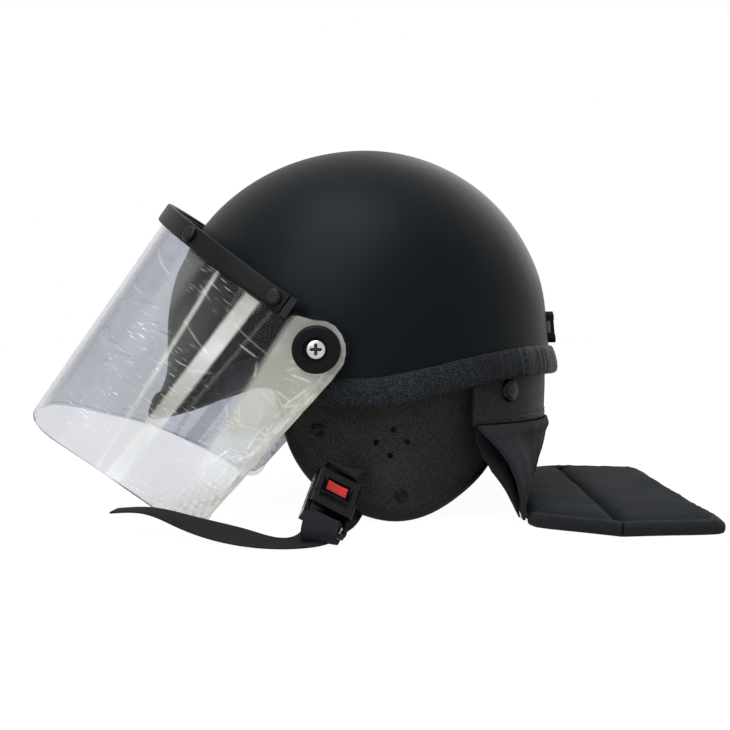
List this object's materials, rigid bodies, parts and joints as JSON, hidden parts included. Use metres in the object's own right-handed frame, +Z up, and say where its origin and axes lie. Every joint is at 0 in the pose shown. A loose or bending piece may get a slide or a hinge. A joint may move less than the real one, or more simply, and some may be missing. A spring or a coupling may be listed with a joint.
{
  "type": "riot helmet",
  "caption": "Riot helmet with a hinged clear visor, padded liner, ear flaps, buckled chin strap and a folding padded neck guard",
  "frame": {"origin": "on the surface the helmet rests on, straight below the centre of the shell's dome", "axes": "the helmet faces -Y, the wearer's left is +X, +Z is up"},
  "size_m": [0.3273, 0.4425, 0.2425],
  "materials": {
    "shell_paint": "satin black paint over moulded polymer",
    "trim_rubber": "grained",
    "liner_foam": "expanded foam",
    "pad_cloth": "brushed cloth over foam",
    "black_plastic": "moulded, satin",
    "steel": "plated",
    "rubber": "moulded",
    "bright_screw": "bright plated",
    "leatherette": "fine grain",
    "binding_tape": "folded edge tape",
    "black_metal": "black oxide",
    "curtain_cloth": "woven cloth",
    "guard_cloth": "smooth woven cloth over foam",
    "webbing": "woven tape",
    "red_button": "moulded",
    "clear_sheet": "clear polycarbonate under protective film"
  },
  "bodies": {
    "helmet": {"shell": "shell_paint", "edge_trim": "trim_rubber", "impact_liner": "liner_foam", "crown_pad": "pad_cloth", "brow_pad": "pad_cloth", "rear_pad": "pad_cloth", "side_pad_left": "pad_cloth", "side_pad_right": "pad_cloth", "pivot_base_left": "black_plastic", "pivot_base_right": "black_plastic", "pivot_insert_left": "steel", "pivot_insert_right": "steel", "friction_washer_left": "rubber", "friction_washer_right": "rubber", "spring_washer_left": "steel", "spring_washer_right": "steel", "pivot_knob_left": "black_plastic", "pivot_knob_right": "black_plastic", "pivot_screw_left": "bright_screw", "pivot_screw_right": "bright_screw", "cheek_flap_left": "leatherette", "cheek_flap_right": "leatherette", "flap_binding_left": "binding_tape", "flap_binding_right": "binding_tape", "flap_lining_left": "pad_cloth", "flap_lining_right": "pad_cloth", "flap_rivets_left": "black_metal", "flap_rivets_right": "black_metal", "strap_anchor_left": "steel", "strap_anchor_right": "steel", "neck_band": "leatherette", "neck_band_snaps": "black_metal", "neck_curtain": "curtain_cloth", "curtain_lining": "curtain_cloth", "rear_strap_clip": "black_plastic", "rear_clip_rivets": "black_metal", "chin_strap_left": "webbing", "chin_strap_right": "webbing", "buckle_tongue": "black_plastic"},
    "visor": {"visor_sheet": "clear_sheet", "visor_bar": "black_plastic", "visor_seal": "rubber", "bar_end_pieces": "rubber", "bar_screws": "black_metal", "bar_nuts": "steel"},
    "neck_pad_inner": {"neck_pad_front": "guard_cloth"},
    "neck_pad_outer": {"neck_pad_rear": "guard_cloth"},
    "buckle": {"buckle_housing": "black_plastic", "adjuster_bar": "steel", "strap_tail": "webbing"},
    "button": {"release_button": "red_button"}
  },
  "joints": [
    {"name": "visor_tilt", "type": "hinge", "parent": "helmet", "child": "visor", "pos_m": [0, -0.02346, 0.10735], "axis": [-1, 0, 0], "range_deg": [-30, 45]},
    {"name": "neck_guard_swing", "type": "hinge", "parent": "helmet", "child": "neck_pad_inner", "pos_m": [0, 0.101, 0.004], "axis": [1, 0, 0], "range_deg": [-85, 4]},
    {"name": "neck_pad_fold", "type": "hinge", "parent": "neck_pad_inner", "child": "neck_pad_outer", "pos_m": [0, 0.153, 0.0021], "axis": [1, 0, 0], "range_deg": [-35, 35]},
    {"name": "buckle_release", "type": "slide", "parent": "helmet", "child": "buckle", "axis": [0.751, -0.2044, -0.6279], "range_m": [0, 0.018]},
    {"name": "button_press", "type": "slide", "parent": "buckle", "child": "button", "axis": [-0.6394, -0.4624, -0.6143], "range_m": [0, 0.0012], "stiffness_N_per_m": 300}
  ]
}
